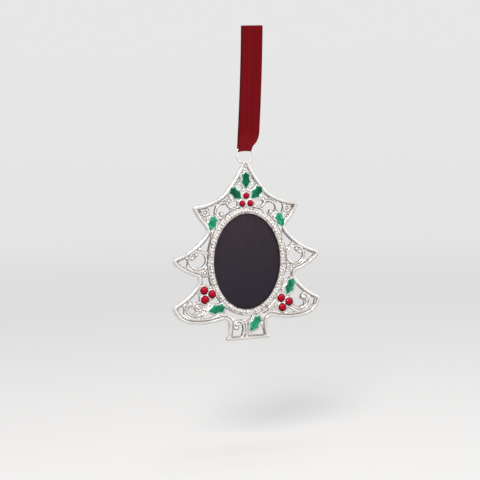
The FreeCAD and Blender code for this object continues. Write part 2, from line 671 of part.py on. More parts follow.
def ribbon_shape():
    """Folded under the ring's top, spread to its full width above, folded again at the top."""
    depth = size("eye_depth")
    near = size("wire_round") + size("ribbon_gap")
    far = near + size("ribbon_thick")
    reach = math.radians(size("ribbon_fold"))
    ring_radius = size("ring_round")
    low_half, low_z = ring_radius * math.sin(reach), ring_centre_z + ring_radius * math.cos(reach)
    half, flare_z = size("ribbon_wide") / 2, low_z + size("ribbon_flare")
    slope = hang_x / (hang_z - low_z)
    drift = slope * size("ribbon_flare")

    def section(z, side):
        """Half ring between the two leaves of the ribbon, closed towards side (-1 down, 1 up)."""
        corners = []
        folds = 6
        for radius, order in ((far, range(folds + 1)), (near, range(folds, -1, -1))):
            for fold in order:
                turn = fold * math.pi / folds
                corners.append(Vector(0, -depth - radius * math.cos(turn), z + side * radius * math.sin(turn)))
        return Part.Face(Part.makePolygon(corners + corners[:1]))

    centre, turning = Vector(0, -depth, ring_centre_z), Vector(0, 1, 0)
    under = section(wire_top_z, -1)
    under.rotate(centre, turning, -size("ribbon_fold"))
    solids = [under.revolve(centre, turning, 2 * size("ribbon_fold"))]
    left_foot, right_foot = spot(-low_half, low_z), spot(low_half, low_z)
    sides = [spot(half + drift, flare_z), spot(half + hang_x, hang_z), spot(hang_x - half, hang_z),
             spot(drift - half, flare_z)]
    edges = [Part.Arc(left_foot, spot(0, wire_top_z), right_foot).toShape()]
    corners = [right_foot] + sides + [left_foot]
    for start, end in zip(corners, corners[1:]):
        edges.append(Part.LineSegment(start, end).toShape())
    leaf = Part.Face(Part.Wire(edges))
    solids.append(slab(leaf, depth + far, depth + near))
    solids.append(slab(leaf, depth - near, depth - far))
    over = section(hang_z, 1)
    over.translate(Vector(hang_x - half, 0, 0))
    solids.append(over.extrude(Vector(2 * half, 0, 0)))
    return solids[0].multiFuse(solids[1:]).removeSplitter()


ribbon = doc.addObject("Part::Feature", "ribbon")
ribbon.Shape = ribbon_shape()
ribbon.Placement = HANG
keep(ribbon, "ribbon")

doc.recompute()
for item in doc.Objects:
    if "Invalid" in item.State or "Error" in item.State:
        raise RuntimeError("%s failed: %s" % (item.Name, item.State))
for node in NODES:
    shape = node.Shape
    if shape.isNull() or not shape.isValid() or len(shape.Solids) != 1 or shape.Volume <= 0:
        raise RuntimeError("%s has no sound solid" % node.Label)

os.makedirs("parts", exist_ok=True)
for node in NODES:
    node.Shape.exportStep("parts/%s.step" % node.Label)
    print("%s %.2f mm3" % (node.Label, node.Shape.Volume))
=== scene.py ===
# Tree photo ornament: an openwork silver tree with enamel holly, crystal berries and a beaded oval,
# hung by a wire ring from a folded satin ribbon. Sizes are millimetres where no line says metres.
import math
import bmesh
import bpy
import numpy as np
from mathutils import Matrix, Vector
from mathutils.geometry import delaunay_2d_cdt


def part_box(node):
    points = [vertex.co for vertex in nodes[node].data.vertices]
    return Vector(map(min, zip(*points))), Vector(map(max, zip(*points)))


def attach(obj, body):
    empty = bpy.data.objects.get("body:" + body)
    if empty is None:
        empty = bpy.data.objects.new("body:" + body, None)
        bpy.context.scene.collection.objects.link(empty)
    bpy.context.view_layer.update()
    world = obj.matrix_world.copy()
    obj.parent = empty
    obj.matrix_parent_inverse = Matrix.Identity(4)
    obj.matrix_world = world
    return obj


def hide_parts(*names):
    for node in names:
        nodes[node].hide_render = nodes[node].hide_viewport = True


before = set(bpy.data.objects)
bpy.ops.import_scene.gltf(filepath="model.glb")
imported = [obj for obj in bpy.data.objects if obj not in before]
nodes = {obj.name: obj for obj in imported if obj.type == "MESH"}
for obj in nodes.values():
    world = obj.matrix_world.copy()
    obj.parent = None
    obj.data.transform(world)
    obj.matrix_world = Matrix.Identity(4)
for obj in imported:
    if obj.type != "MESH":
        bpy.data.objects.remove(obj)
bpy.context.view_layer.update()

MM = 0.001

# The view. A long lens stands to the left of the ornament and a little above it, tilted slightly.
camera_at = Vector((-258.8, -688.7, -9.1)) * MM
camera_heading = math.radians(20.04)
camera_dip = math.radians(6.85)
camera_roll = math.radians(1.05)
camera_data = bpy.data.cameras.new("camera")
camera_data.lens = 120.24
camera_data.sensor_width = 36.0
camera_data.clip_start = 0.05
camera_data.clip_end = 20.0
camera = bpy.data.objects.new("camera", camera_data)
bpy.context.scene.collection.objects.link(camera)
turned = Matrix.Rotation(-camera_heading, 4, "Z") @ Matrix.Rotation(math.pi / 2 - camera_dip, 4, "X")
camera.matrix_world = Matrix.Translation(camera_at) @ turned @ Matrix.Rotation(-camera_roll, 4, "Z")
bpy.context.scene.camera = camera
bpy.context.scene.view_settings.view_transform = "Standard"

# The stage: a floor of pale paper under the hanging ornament, which fades out before its edge so that
# it runs into the background without a line. It glows a little where the camera sees it.
floor_height, floor_half = -200.0, 2500.0
floor_solid, floor_gone = 220.0 * MM, 950.0 * MM
floor_glow = 0.26
paper_white = (0.80, 0.79, 0.78, 1)


def join_up(name, points, faces, smooth=True):
    """Object in the scene from points in millimetres and faces as rows of corner numbers."""
    mesh = bpy.data.meshes.new(name)
    places = (np.asarray(points, float) * MM).tolist()
    mesh.from_pydata(places, [], [tuple(map(int, face)) for face in faces])
    mesh.polygons.foreach_set("use_smooth", [smooth] * len(mesh.polygons))
    mesh.update()
    made = bpy.data.objects.new(name, mesh)
    bpy.context.scene.collection.objects.link(made)
    return made


def new_material(name):
    """Material with its node graph and its Principled shader."""
    material = bpy.data.materials.new(name)
    material.use_nodes = True
    return material, material.node_tree, material.node_tree.nodes["Principled BSDF"]


def shader_node(graph, kind, settings=None, **inputs):
    """Node of a kind; each input is a value or a socket, by name with _ for a space or as i and number."""
    made = graph.nodes.new(kind)
    for key, value in (settings or {}).items():
        setattr(made, key, value)
    for key, value in inputs.items():
        socket = int(key[1:]) if key[1:].isdigit() else key.replace("_", " ")
        put_in(graph, made.inputs[socket], value)
    return made


def put_in(graph, socket, value):
    """Link to a socket where the value is another node's socket, and otherwise its plain value."""
    if isinstance(value, bpy.types.NodeSocket):
        graph.links.new(value, socket)
    else:
        socket.default_value = value


def finish_with(graph, shader, **inputs):
    """Shader's inputs, each a value or a socket, by name with _ for a space."""
    for key, value in inputs.items():
        put_in(graph, shader.inputs[key.replace("_", " ")], value)


def mixed(graph, share, first, second):
    """Colour that goes from the first to the second as the share goes from 0 to 1."""
    made = shader_node(graph, "ShaderNodeMix", {"data_type": "RGBA"}, i0=share, i6=first, i7=second)
    return made.outputs[2]


def math_node(graph, operation, first, second=0.0):
    """Result of one operation on two numbers or sockets."""
    return shader_node(graph, "ShaderNodeMath", {"operation": operation}, i0=first, i1=second).outputs[0]


def ramped(graph, value, low, high, out_low=0.0, out_high=1.0):
    """Number that goes smoothly from out_low to out_high as the value goes from low to high."""
    return shader_node(graph, "ShaderNodeMapRange", {"interpolation_type": "SMOOTHSTEP"}, Value=value,
                       From_Min=low, From_Max=high, To_Min=out_low, To_Max=out_high).outputs[0]


def object_place(graph):
    """Socket with the place on the piece, in metres."""
    return graph.nodes.new("ShaderNodeTexCoord").outputs["Object"]


def noise(graph, place, scale, detail):
    """Cloudy number from 0 to 1 that varies over a place."""
    return shader_node(graph, "ShaderNodeTexNoise", Vector=place, Scale=scale, Detail=detail).outputs[0]


floor_corners = [(-1, -1), (1, -1), (1, 1), (-1, 1)]
stage = join_up("stage", [(x * floor_half, y * floor_half, floor_height) for x, y in floor_corners],
                [(0, 1, 2, 3)])
pale_paper, graph, shader = new_material("pale_paper")
from_centre = shader_node(graph, "ShaderNodeVectorMath", {"operation": "LENGTH"}, i0=object_place(graph))
camera_sees = graph.nodes.new("ShaderNodeLightPath").outputs["Is Camera Ray"]
finish_with(graph, shader, Base_Color=paper_white, Roughness=0.9, Specular_IOR_Level=0.1,
            Alpha=ramped(graph, from_centre.outputs["Value"], floor_solid, floor_gone, 1.0, 0.0),
            Emission_Strength=math_node(graph, "MULTIPLY", camera_sees, floor_glow),
            Emission_Color=(1, 1, 1, 1))
stage.data.materials.append(pale_paper)


# The light: three soft boxes and a dim room. What looks straight at the room, mirrors it or looks
# through the window at it meets a brighter backdrop, grey below and paler above.
def soft_lamp(name, place, wide, high, watts, tint=(1, 1, 1)):
    """Soft box at a place in metres, as wide and high in metres, aimed at the tree's middle."""
    lamp = bpy.data.lights.new(name, "AREA")
    lamp.shape = "RECTANGLE"
    lamp.size, lamp.size_y = wide, high
    lamp.energy = watts
    lamp.color = tint
    holder = bpy.data.objects.new(name, lamp)
    holder.location = place
    holder.rotation_mode = "QUATERNION"
    holder.rotation_quaternion = (Vector(lamp_aim) - Vector(place)).to_track_quat("-Z", "Y")
    bpy.context.scene.collection.objects.link(holder)


lamp_aim = (-0.005, 0.0, -0.105)
soft_lamp("key_lamp", (-0.45, -0.75, 0.60), 0.35, 0.35, 5.5, (1.0, 0.98, 0.96))
soft_lamp("fill_lamp", (0.75, -0.60, 0.15), 0.6, 0.8, 1.6)
soft_lamp("top_lamp", (0.05, -0.05, 0.75), 0.5, 0.3, 1.6)
backdrop_low, backdrop_high = (0.66, 0.655, 0.65, 1), (0.80, 0.80, 0.80, 1)
backdrop_turn = -0.8
room_tone, room_strength = (0.92, 0.93, 0.95, 1), 0.34
world = bpy.data.worlds.new("studio")
bpy.context.scene.world = world
world.use_nodes = True
graph = world.node_tree
room = graph.nodes["Background"]
finish_with(graph, room, Color=room_tone, Strength=room_strength)
direction = graph.nodes.new("ShaderNodeTexCoord").outputs["Generated"]
upward = shader_node(graph, "ShaderNodeSeparateXYZ", i0=direction).outputs["Z"]
rise = shader_node(graph, "ShaderNodeMapRange", Value=upward, From_Min=backdrop_turn, From_Max=0.0)
backdrop_tone = mixed(graph, rise.outputs["Result"], backdrop_low, backdrop_high)
backdrop = shader_node(graph, "ShaderNodeBackground", Color=backdrop_tone, Strength=1.0)
path = graph.nodes.new("ShaderNodeLightPath").outputs
shown = path["Is Camera Ray"]
for kind in ("Is Glossy Ray", "Is Transmission Ray"):
    shown = math_node(graph, "MAXIMUM", shown, path[kind])
chosen = shader_node(graph, "ShaderNodeMixShader", i0=shown, i1=room.outputs[0], i2=backdrop.outputs[0])
put_in(graph, graph.nodes["World Output"].inputs["Surface"], chosen.outputs[0])

# The casting's front: the tree is one piece of white metal, cast in a mould and silver plated. Its
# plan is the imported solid's, cut level by level, and its crowns are rounded from those edges as a
# worn mould leaves them. Depths are measured from the flat back towards the front.
flat_back = np.array(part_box("tree_casting")[1])[1] / MM
step_depth, half_lap = 2.07, 0.02
web_front, band_level, rim_level = 2.1, 2.6, 2.72
crown_round = 0.30
cell, snap_share = 0.13, 0.5
# Each pair is a level that is cut and the height of the crowns that reach above it.
crown_levels = ((2.3, 2.5), (2.58, 2.65), (2.68, 2.7), (2.76, 2.8), (2.86, 2.9), (2.96, 3.0),
                (3.06, 3.1), (3.16, 3.2), (3.24, 3.28))
oval_middle = np.array([-4.6, -107.25])
oval_half = np.array([16.3, 22.25])
bezel_wide, bezel_lap = 3.0, 1.0
tip_foot, tip_floor = oval_middle[1] + 43.5, 2.3


def triangles_of(name):
    """Plan (x, z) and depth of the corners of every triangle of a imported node."""
    mesh = nodes[name].data
    mesh.calc_loop_triangles()
    points = np.empty(len(mesh.vertices) * 3)
    mesh.vertices.foreach_get("co", points)
    corners = np.empty(len(mesh.loop_triangles) * 3, int)
    mesh.loop_triangles.foreach_get("vertices", corners)
    solid = points.reshape(-1, 3)[corners.reshape(-1, 3)] / MM
    return solid[..., [0, 2]], flat_back - solid[..., 1]


def cut_at(plan, depth, level):
    """Edges of the section at a level: each side of a triangle that crosses it is cut at the share
    (level - its depth) / (the next corner's depth - its depth) of its length."""
    above = depth > level
    after = [1, 2, 0]
    crossing = above != above[:, after]
    share = np.where(crossing, (level - depth) / np.where(crossing, depth[:, after] - depth, 1), 0)
    points = plan + share[..., None] * (plan[:, after] - plan)
    cut = crossing.sum(1) == 2
    return points[cut][crossing[cut]].reshape(-1, 2, 2)


class Grid:
    """Square grid over a plan; its odd offset keeps the grid's points off the section's corners."""

    def __init__(self, plan, pitch):
        """Grid of a pitch that reaches two or three points beyond the plan on every side."""
        low, high = plan.reshape(-1, 2).min(0), plan.reshape(-1, 2).max(0)
        self.pitch = pitch
        self.origin = low - 2.5 * pitch + pitch * np.array([0.1371, 0.2937])
        self.shape = tuple(np.ceil((high - low)[::-1] / pitch).astype(int) + 6)
        rows, columns = self.shape
        self.x = self.origin[0] + pitch * np.arange(columns)
        self.z = self.origin[1] + pitch * np.arange(rows)
        self.plan = np.stack(np.meshgrid(self.x, self.z), -1)

    def inside(self, edges):
        """Which points lie inside: the count of edges crossed before them along their row is odd."""
        low, high = edges[..., 1].min(1), edges[..., 1].max(1)
        first = np.ceil((low - self.origin[1]) / self.pitch).astype(int)
        last = np.ceil((high - self.origin[1]) / self.pitch).astype(int)
        count = last - first
        which = np.repeat(np.arange(len(edges)), count)
        row = np.repeat(first, count) + np.arange(count.sum()) - np.repeat(np.cumsum(count) - count, count)
        a, b = edges[which, 0], edges[which, 1]
        x = a[:, 0] + (self.z[row] - a[:, 1]) / (b[:, 1] - a[:, 1]) * (b[:, 0] - a[:, 0])
        column = np.ceil((x - self.origin[0]) / self.pitch).astype(int)
        crossed = np.zeros(self.shape, int)
        np.add.at(crossed, (row, column), 1)
        return np.cumsum(crossed, 1) % 2 == 1

    def reach(self, edges, limit):
        """Distance from each point to the nearest edge, up to a limit, and the place there. On an edge
        from a along d, the place nearest to p is a + d * ((p - a) . d / d . d, kept from 0 to 1)."""
        low = np.floor((edges.min(1) - limit - self.origin) / self.pitch).astype(int)
        high = np.ceil((edges.max(1) + limit - self.origin) / self.pitch).astype(int)
        low = np.clip(low, 0, np.array(self.shape[::-1]) - 1)
        high = np.clip(high, 0, np.array(self.shape[::-1]) - 1)
        wide, tall = (high - low + 1).T
        count = wide * tall
        which = np.repeat(np.arange(len(edges)), count)
        order = np.arange(count.sum()) - np.repeat(np.cumsum(count) - count, count)
        column = low[which, 0] + order % wide[which]
        row = low[which, 1] + order // wide[which]
        spot = np.stack([self.x[column], self.z[row]], 1)
        start, along = edges[which, 0], edges[which, 1] - edges[which, 0]
        length = np.maximum((along ** 2).sum(1), 1e-12)
        share = np.clip(((spot - start) * along).sum(1) / length, 0, 1)
        nearest = start + share[:, None] * along
        gap = np.hypot(*(spot - nearest).T)
        flat = row * self.shape[1] + column
        distance = np.full(self.shape[0] * self.shape[1], limit)
        np.minimum.at(distance, flat, gap)
        best = gap <= distance[flat]
        point = np.zeros((len(distance), 2))
        point[flat[best]] = nearest[best]
        return distance.reshape(self.shape), point.reshape(*self.shape, 2)

    def away(self, middle):
        """Distance of each point from one place."""
        return np.hypot(*(self.plan - middle).transpose(2, 0, 1))


def reachable(empty):
    """Empty points joined to the grid's border, spread along rows and columns until nothing changes."""
    found = np.zeros_like(empty)
    found[0] = found[-1] = found[:, 0] = found[:, -1] = True
    found &= empty
    while True:
        before = found.sum()
        for axis in (0, 1):
            for order in (1, -1):
                ordered = slice(None, None, order)
                view = (ordered,) if axis == 0 else (slice(None), ordered)
                part, room = found[view], empty[view]
                blocks = np.cumsum(~room, axis)
                start = np.maximum.accumulate(np.where(part, blocks, -1), axis)
                part |= room & (start == blocks)
        if found.sum() == before:
            return found


def oval_share(extra):
    """Square of each point's share of the way out to the oval grown by extra: below 1 inside it."""
    return (((grid.plan - oval_middle) / (oval_half + extra)) ** 2).sum(-1)


def quarter_round(share):
    """Quarter circle's height at a share of its run: the root of 1 - (1 - share) squared."""
    return np.sqrt(1 - (1 - np.clip(share, 0, 1)) ** 2)


def line_shade(gap, wide):
    """Shade beside a line: e to the power of minus (gap / wide) squared, so 1 on the line itself."""
    return np.exp(-(gap / wide) ** 2)


def softened(height, mask, passes):
    """Height blurred with its neighbours (1-2-1 both ways), using only points inside the mask."""
    for _ in range(passes):
        for axis in (0, 1):
            total = 2 * height * mask
            weight = 2.0 * mask
            for shift in (-1, 1):
                total += np.roll(height * mask, shift, axis)
                weight += np.roll(mask, shift, axis)
            height = np.where(mask, total / np.maximum(weight, 1), height)
    return height


def fill_between(plan, edges):
    """Triangles over a plan's filled parts, which lie behind an odd number of its edges."""
    filled = delaunay_2d_cdt([Vector(p) for p in plan.tolist()], edges.tolist(), [], 0, 1e-7)
    made = np.array([v[:] for v in filled[0]])
    source = np.array([own[0] if own else -1 for own in filled[3]])
    faces = np.array(filled[2])
    middle = made[faces].mean(1)
    a, b = plan[edges[:, 0]], plan[edges[:, 1]]
    rise = np.where(a[:, 1] == b[:, 1], 1, b[:, 1] - a[:, 1])
    passed = (a[:, 1] > middle[:, 1:]) != (b[:, 1] > middle[:, 1:])
    right = a[:, 0] + (middle[:, 1:] - a[:, 1]) * (b[:, 0] - a[:, 0]) / rise > middle[:, :1]
    faces = source[faces[(passed & right).sum(1) % 2 == 1]]
    a, b, c = (plan[faces[:, i]] for i in range(3))
    turning = (b - a)[:, 0] * (c - a)[:, 1] - (b - a)[:, 1] * (c - a)[:, 0]
    return np.where((turning > 0)[:, None], faces[:, ::-1], faces)


def relief_mesh(name, valid, points, height, floor):
    """Closed shell over a grid: point (x, z) stands at its height where valid, with walls from the
    border down to a flat floor. Gives the object and the numbers of the border's points."""
    index = np.full(valid.shape, -1)
    index[valid] = np.arange(valid.sum())
    corners = np.stack([index[:-1, :-1], index[:-1, 1:], index[1:, 1:], index[1:, :-1]], -1).reshape(-1, 4)
    kept = (corners >= 0).sum(1)
    quads = corners[kept == 4]
    partial = corners[kept == 3]
    triangles = partial[partial >= 0].reshape(-1, 3)
    sides = np.concatenate([quads[:, [0, 1]], quads[:, [1, 2]], quads[:, [2, 3]], quads[:, [3, 0]],
                            triangles[:, [0, 1]], triangles[:, [1, 2]], triangles[:, [2, 0]]])
    size = int(index.max()) + 1
    code, back = sides[:, 0] * size + sides[:, 1], sides[:, 1] * size + sides[:, 0]
    border = sides[~np.isin(code, back)]
    rim = np.unique(border)
    lower = np.full(size, -1)
    lower[rim] = size + np.arange(len(rim))
    flat, depth = points[valid], height[valid]
    plan = np.concatenate([flat, flat[rim]])
    deep = np.concatenate([depth, np.full(len(rim), floor)])
    walls = np.stack([border[:, 1], border[:, 0], lower[border[:, 0]], lower[border[:, 1]]], 1)
    base = lower[rim[fill_between(flat[rim], np.searchsorted(rim, border))]]
    faces = quads.tolist() + triangles.tolist() + walls.tolist() + base.tolist()
    return join_up(name, np.stack([plan[:, 0], flat_back - deep, plan[:, 1]], 1), faces), rim


def store(made, name, values, rim=None, domain="POINT"):
    """Number for each point or face of a mesh; points on a shell's wall repeat their rim's number."""
    if rim is not None:
        values = np.concatenate([values, values[rim]])
    layer = made.data.attributes.new(name, "FLOAT", domain)
    layer.data.foreach_set("value", np.asarray(values, np.float32))


plan, depth = triangles_of("tree_casting")
grid = Grid(plan, cell)
outer = cut_at(plan, depth, step_depth)
solid = grid.inside(outer)
outdoors = reachable(~solid)
stepped = np.full(grid.shape, web_front)
for level, crown_height in crown_levels:
    stepped = np.where(grid.inside(cut_at(plan, depth, level)), crown_height, stepped)

# Scrolls, cell walls and cups are rounded over crown_round from their feet. The band is a mesh of its
# own, so its flat is left out here, and the tip above the ring's pocket is level between its rims.
ridge_far = 1.10
raised_gap, _ = grid.reach(cut_at(plan, depth, crown_levels[0][0]), ridge_far)
rim_gap, _ = grid.reach(cut_at(plan, depth, rim_level), crown_round)
in_tip = grid.plan[..., 1] > tip_foot
in_bezel = oval_share(bezel_wide) < 1
stepped = np.where(in_tip & (stepped < rim_level), tip_floor, stepped)
stepped = np.where(in_bezel & (stepped < band_level), web_front, stepped)
raised_gap = np.where(in_tip, np.minimum(rim_gap, raised_gap), raised_gap)
rounding = np.where(stepped > web_front, quarter_round(raised_gap / crown_round), 0)
height = web_front + (stepped - web_front) * rounding

# The rim is one broad band along the tree's outline: a quarter round up from each side, and level
# between them. Where a scroll or a cell wall meets it, only the rim's outer part is kept.
rim_band, rim_top, rim_round, rim_outer = 1.45, 2.8, 0.42, 1.05
rim_reach, look_aside = 1.2, 0.2
middle_of, across_edge = outer.mean(1), (outer[:, 1] - outer[:, 0])[:, ::-1] * [1, -1]
across_edge /= np.maximum(np.linalg.norm(across_edge, axis=1), 1e-9)[:, None]
open_side = np.zeros(len(outer), bool)
for side in (-look_aside, look_aside):
    spot = np.round((middle_of + side * across_edge - grid.origin) / cell).astype(int)
    open_side |= outdoors[spot[:, 1], spot[:, 0]]
outline_gap, _ = grid.reach(outer[open_side], rim_band + rim_reach)
into_rim = np.minimum(outline_gap, rim_band - outline_gap) / rim_round
rim_form = web_front + (rim_top - web_front) * quarter_round(into_rim)
free_rim = (stepped <= web_front) | (outline_gap < rim_outer)
on_rim = (outline_gap < rim_band) & ~in_tip & ~in_bezel & free_rim
height = np.where(on_rim, np.maximum(rim_form, np.where(stepped > web_front, 0, height)), height)
rim_foot_gap = np.maximum(outline_gap - rim_band, 0)
raised_gap = np.where(stepped <= web_front, np.minimum(raised_gap, rim_foot_gap), raised_gap)

# The web swells away from its openings, and a low second ridge follows each scroll and the rim: a
# squared sine from the groove beside them out to ridge_far. Two scrolls end in a stud, a half ball.
web_swell, groove, ridge_high, edge_slope = 0.12, 0.30, 0.26, 0.45
edge_gap, edge_point = grid.reach(outer, edge_slope)
flat_web = (stepped <= web_front) & ~in_bezel & ~in_tip & ~on_rim
ridge = np.sin(math.pi * np.clip((raised_gap - groove) / (ridge_far - groove), 0, 1)) ** 2
swell = web_swell * np.clip(raised_gap / groove, 0, 1) ** 2
inland = np.clip(edge_gap / edge_slope, 0, 1)
fallen = inland * (2 - inland)
height = np.where(flat_web, height + fallen * (swell + ridge_high * ridge), height)
stud_places, stud_round = ((-28.0, -18.1), (27.6, -18.1)), 1.25
stud_foot, stud_dome = 0.15, 0.75
for stud_place in stud_places:
    apart = grid.away(oval_middle + stud_place) / stud_round
    dome = np.sqrt(np.clip(1 - apart ** 2, 0, 1))
    height = np.where(apart < 1, np.maximum(height, web_front + stud_foot + stud_dome * dome), height)
height = softened(height, solid, 2)
snapped = edge_gap < snap_share * cell
points = np.where(snapped[..., None], edge_point, grid.plan)
valid = (solid | snapped) & (oval_share(bezel_wide - bezel_lap) > 1)
casting_front, rim = relief_mesh("casting_front", valid, points, height, step_depth - half_lap)

# Wear and painted light: crown is 1 on the raised parts, which wear keeps bright and smooth, and their
# paler tone there is partly painted highlight. The shade number is up to 1 in painted shade, the dark lines
# along the feet of raised forms, each given as (strength, width). The rims of cups and leaf cells are a
# painted highlight, bright all over, and a painted shadow darkens a pit beside each upper branch's tip.
crown_rise, raised_over = 0.38, 0.25
web_shade, raised_shade, rim_shade = (0.9, 0.24), (0.3, 0.05), (0.9, 0.14)
tip_crown, tip_shade = 0.5, 0.5
cup_bright, leaf_bright, leaf_level, leaf_reach = 0.62, 0.50, 2.2, 0.7
pit_places, pit_round = ((-22.8, 24.6), (22.8, 24.6)), 0.8
crown = np.clip((height - web_front) / crown_rise, 0, 1)
is_raised = stepped > web_front + raised_over
grime = np.where(is_raised, raised_shade[0] * line_shade(raised_gap, raised_shade[1]),
                 web_shade[0] * line_shade(raised_gap, web_shade[1]))
crown = np.where(on_rim, 1.0, crown)
grime = np.where(on_rim, rim_shade[0] * line_shade(rim_band - outline_gap, rim_shade[1]), grime)
crown = np.where(in_tip, np.maximum(crown, tip_crown), crown)
grime = np.where(in_tip, tip_shade * grime, grime)
# Painted highlight: the rims round the crystals' cups and the leaf cells are kept bright and free of painted
# shade.
polished = np.zeros(grid.shape, bool)
for name in [name for name in nodes if name.startswith("crystal_")]:
    low, high = (np.array(corner)[[0, 2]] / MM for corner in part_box(name))
    polished |= grid.away((low + high) / 2) - (high - low)[0] / 2 < cup_bright
leaf_edges = [cut_at(*triangles_of(name), leaf_level) for name in nodes if name.startswith("enamel_")]
leaf_gap, _ = grid.reach(np.concatenate(leaf_edges), leaf_reach)
polished |= leaf_gap < leaf_bright
crown = np.where(polished, 1.0, crown)
grime = np.where(polished, 0.0, grime)
# Painted shadow: a dark spot on the flat web beside each upper branch's tip stands for a deep pit.
for pit_place in pit_places:
    pit = np.exp(-(grid.away(oval_middle + pit_place) / pit_round) ** 4)
    grime = np.maximum(grime, np.where(stepped <= web_front, pit, 0))
store(casting_front, "crown", crown[valid], rim)
store(casting_front, "grime", grime[valid], rim)

# Silver plate: bright cream on the crowns, a little darker and grainy in the hollows, the darker tone
# partly painted shade, and painted shade in dark brown where the shade number lies.
plate_bright = (0.90, 0.855, 0.82, 1), (0.98, 0.945, 0.915, 1)
plate_low = (0.86, 0.81, 0.77, 1), (0.98, 0.945, 0.91, 1)
speckle_brown, shade_brown = (0.24, 0.19, 0.175, 1), (0.075, 0.055, 0.048, 1)
grain_scale, cloud_scale = 1000.0, 320.0
plate = bpy.data.node_groups.new("plate_tones", "ShaderNodeTree")
plate_takes = (("Place", "Vector"), ("Crown", "Float"), ("Grime", "Float"))
plate_gives = (("Color", "Color"), ("Roughness", "Float"), ("Height", "Float"))
for way, sockets in (("INPUT", plate_takes), ("OUTPUT", plate_gives)):
    for name, kind in sockets:
        plate.interface.new_socket(name, in_out=way, socket_type="NodeSocket" + kind)
given = plate.nodes.new("NodeGroupInput").outputs
grain = noise(plate, given["Place"], grain_scale, 4.0)
cloud = noise(plate, given["Place"], cloud_scale, 3.0)
hollow = math_node(plate, "SUBTRACT", 1.0, given["Crown"])
patches = ramped(plate, cloud, 0.35, 0.65)
toned = mixed(plate, ramped(plate, given["Crown"], 0.0, 0.55), mixed(plate, patches, *plate_low),
              mixed(plate, patches, *plate_bright))
speckle = ramped(plate, grain, 0.50, 0.585)
grainy = math_node(plate, "MULTIPLY", speckle, ramped(plate, hollow, 0.1, 0.9, 0.04, 0.75))
toned = mixed(plate, grainy, toned, speckle_brown)
# Painted shade: the shade number darkens the plate towards dark brown, mottled by the cloud.
dark = math_node(plate, "MULTIPLY", given["Grime"], ramped(plate, cloud, 0.30, 0.60, 0.75, 1.0))
put = plate.nodes.new("NodeGroupOutput").inputs
put_in(plate, put["Color"], mixed(plate, dark, toned, shade_brown))
put_in(plate, put["Roughness"], ramped(plate, hollow, 0.0, 1.0, 0.17, 0.42))
put_in(plate, put["Height"], math_node(plate, "MULTIPLY", grain, hollow))


def attribute(graph, name):
    """Socket with one of a mesh's own numbers."""
    return shader_node(graph, "ShaderNodeAttribute", {"attribute_name": name}).outputs["Fac"]


def plated(name, crown, grime):
    """Plate material; crown and the painted shade are attribute names, or plain numbers for a plain piece."""
    material, graph, shader = new_material(name)
    tones = shader_node(graph, "ShaderNodeGroup", {"node_tree": plate}, Place=object_place(graph))
    for socket, value in (("Crown", crown), ("Grime", grime)):
        value = attribute(graph, value) if isinstance(value, str) else value
        put_in(graph, tones.inputs[socket], value)
    bump = shader_node(graph, "ShaderNodeBump", Height=tones.outputs["Height"], Strength=0.35,
                       Distance=0.08 * MM)
    finish_with(graph, shader, Base_Color=tones.outputs["Color"], Metallic=0.9,
                Roughness=tones.outputs["Roughness"], Normal=bump.outputs["Normal"])
    return material


casting_silver = plated("casting_silver", "crown", "grime")
casting_front.data.materials.append(casting_silver)
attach(casting_front, "tree")
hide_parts("tree_casting")

# The casting's back: the same piece behind the step, which is the imported solid cut off there and
# closed again. The walls of its pierced openings are darkened with painted shade.
back_crown, opening_shade = 0.62, 1.0
look_out, wall_slope = 0.35, 0.5
smooth_under = math.radians(30)
half = bmesh.new()
half.from_mesh(nodes["tree_casting"].data)
bmesh.ops.remove_doubles(half, verts=half.verts, dist=2e-7)
parting = (flat_back - step_depth) * MM
bmesh.ops.bisect_plane(half, geom=half.verts[:] + half.edges[:] + half.faces[:], dist=1e-8,
                       plane_co=(0, parting, 0), plane_no=(0, -1, 0), clear_outer=True)
half.verts.index_update()
corners = [vert for vert in half.verts if any(edge.is_boundary for edge in vert.link_edges)]
number = {vert.index: order for order, vert in enumerate(corners)}
open_edges = [[number[vert.index] for vert in edge.verts] for edge in half.edges if edge.is_boundary]
cap_plan = np.array([(vert.co.x, vert.co.z) for vert in corners]) / MM
for face in fill_between(cap_plan, np.array(open_edges)):
    half.faces.new([corners[index] for index in face[::-1]])
back_mesh = bpy.data.meshes.new("casting_back")
half.to_mesh(back_mesh)
half.free()
back_mesh.materials.clear()
for name in ("custom_normal", "sharp_face", "sharp_edge"):
    if name in back_mesh.attributes:
        back_mesh.attributes.remove(back_mesh.attributes[name])
casting_back = bpy.data.objects.new("casting_back", back_mesh)
bpy.context.scene.collection.objects.link(casting_back)
back_mesh.polygons.foreach_set("use_smooth", [True] * len(back_mesh.polygons))
back_mesh.set_sharp_from_angle(angle=smooth_under)
face_middle = np.empty(len(back_mesh.polygons) * 3)
face_normal = np.empty(len(back_mesh.polygons) * 3)
back_mesh.polygons.foreach_get("center", face_middle)
back_mesh.polygons.foreach_get("normal", face_normal)
face_middle, face_normal = face_middle.reshape(-1, 3) / MM, face_normal.reshape(-1, 3)
beyond = face_middle[:, [0, 2]] + look_out * face_normal[:, [0, 2]]
column = np.clip(np.round((beyond[:, 0] - grid.x[0]) / cell).astype(int), 0, len(grid.x) - 1)
row = np.clip(np.round((beyond[:, 1] - grid.z[0]) / cell).astype(int), 0, len(grid.z) - 1)
enclosed = ~solid & ~outdoors
in_opening = (np.abs(face_normal[:, 1]) < wall_slope) & enclosed[row, column]
store(casting_back, "grime", np.where(in_opening, opening_shade, 0.0), domain="FACE")
back_mesh.materials.append(plated("casting_back_silver", back_crown, "grime"))
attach(casting_back, "tree")

